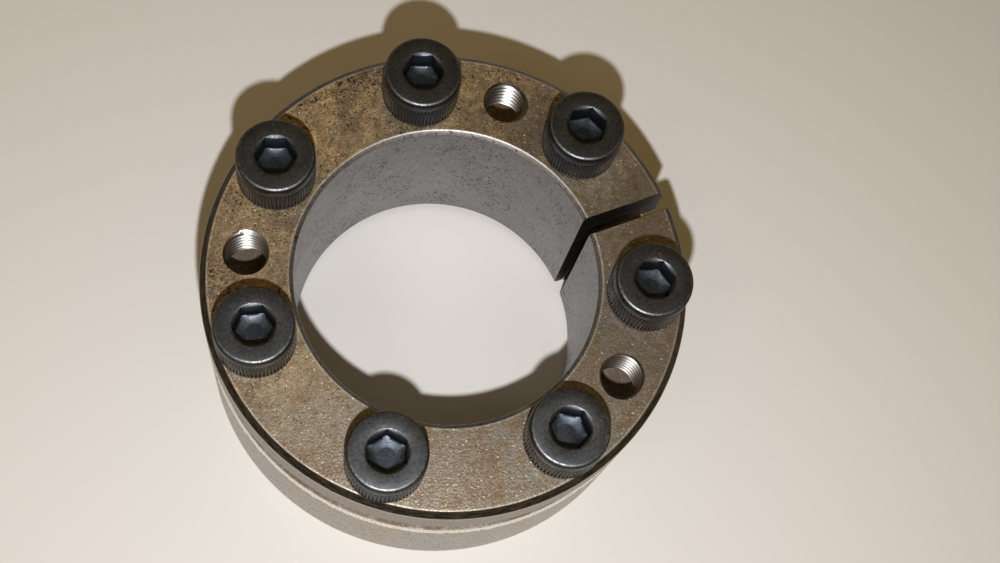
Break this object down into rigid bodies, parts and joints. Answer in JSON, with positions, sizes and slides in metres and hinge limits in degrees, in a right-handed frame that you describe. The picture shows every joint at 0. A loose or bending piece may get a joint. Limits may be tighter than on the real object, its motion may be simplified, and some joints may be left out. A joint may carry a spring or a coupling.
{
  "type": "keyless locking bush",
  "caption": "Slotted, tapered two-ring locking bush that clamps a hub to a round shaft when its socket head screws draw the outer ring up the inner ring's taper.",
  "frame": {"origin": "centre of the outer ring's end face, on which the bush stands", "axes": "+Z along the bush axis towards the screw heads, +X through the slots of both rings"},
  "size_m": [0.08, 0.08, 0.042],
  "materials": {
    "oiled_steel": "turned steel, oily brown film and light rust",
    "turned_steel": "turned steel, satin grey",
    "black_oxide_steel": "black oxide, rubbed bright on the edges"
  },
  "bodies": {
    "inner_ring": {"inner_ring": "oiled_steel"},
    "outer_ring": {"outer_ring": "turned_steel"},
    "screw_1": {"screw_1": "black_oxide_steel"},
    "screw_2": {"screw_2": "black_oxide_steel"},
    "screw_3": {"screw_3": "black_oxide_steel"},
    "screw_4": {"screw_4": "black_oxide_steel"},
    "screw_5": {"screw_5": "black_oxide_steel"},
    "screw_6": {"screw_6": "black_oxide_steel"},
    "screw_7": {"screw_7": "black_oxide_steel"}
  },
  "joints": [
    {"name": "outer_ring_slide", "type": "slide", "parent": "inner_ring", "child": "outer_ring", "axis": [0, 0, 1], "range_m": [-0.00094, 0.00219]},
    {"name": "screw_1_turn", "type": "hinge", "parent": "inner_ring", "child": "screw_1", "pos_m": [0.02951, 0.01421, 0.034], "axis": [0, 0, 1], "range_deg": [-630.5, 270.5]},
    {"name": "screw_2_turn", "type": "hinge", "parent": "inner_ring", "child": "screw_2", "pos_m": [0.00729, 0.03193, 0.034], "axis": [0, 0, 1], "range_deg": [-630.5, 270.5]},
    {"name": "screw_3_turn", "type": "hinge", "parent": "inner_ring", "child": "screw_3", "pos_m": [-0.02042, 0.0256, 0.034], "axis": [0, 0, 1], "range_deg": [-630.5, 270.5]},
    {"name": "screw_4_turn", "type": "hinge", "parent": "inner_ring", "child": "screw_4", "pos_m": [-0.03275, 0, 0.034], "axis": [0, 0, 1], "range_deg": [-630.5, 270.5]},
    {"name": "screw_5_turn", "type": "hinge", "parent": "inner_ring", "child": "screw_5", "pos_m": [-0.02042, -0.0256, 0.034], "axis": [0, 0, 1], "range_deg": [-630.5, 270.5]},
    {"name": "screw_6_turn", "type": "hinge", "parent": "inner_ring", "child": "screw_6", "pos_m": [0.00729, -0.03193, 0.034], "axis": [0, 0, 1], "range_deg": [-630.5, 270.5]},
    {"name": "screw_7_turn", "type": "hinge", "parent": "inner_ring", "child": "screw_7", "pos_m": [0.02951, -0.01421, 0.034], "axis": [0, 0, 1], "range_deg": [-630.5, 270.5]}
  ],
  "couplings": [
    {"joint": "screw_1_turn", "follows": "outer_ring_slide", "rad_per_m": -5026.5},
    {"joint": "screw_2_turn", "follows": "outer_ring_slide", "rad_per_m": -5026.5},
    {"joint": "screw_3_turn", "follows": "outer_ring_slide", "rad_per_m": -5026.5},
    {"joint": "screw_4_turn", "follows": "outer_ring_slide", "rad_per_m": -5026.5},
    {"joint": "screw_5_turn", "follows": "outer_ring_slide", "rad_per_m": -5026.5},
    {"joint": "screw_6_turn", "follows": "outer_ring_slide", "rad_per_m": -5026.5},
    {"joint": "screw_7_turn", "follows": "outer_ring_slide", "rad_per_m": -5026.5}
  ]
}
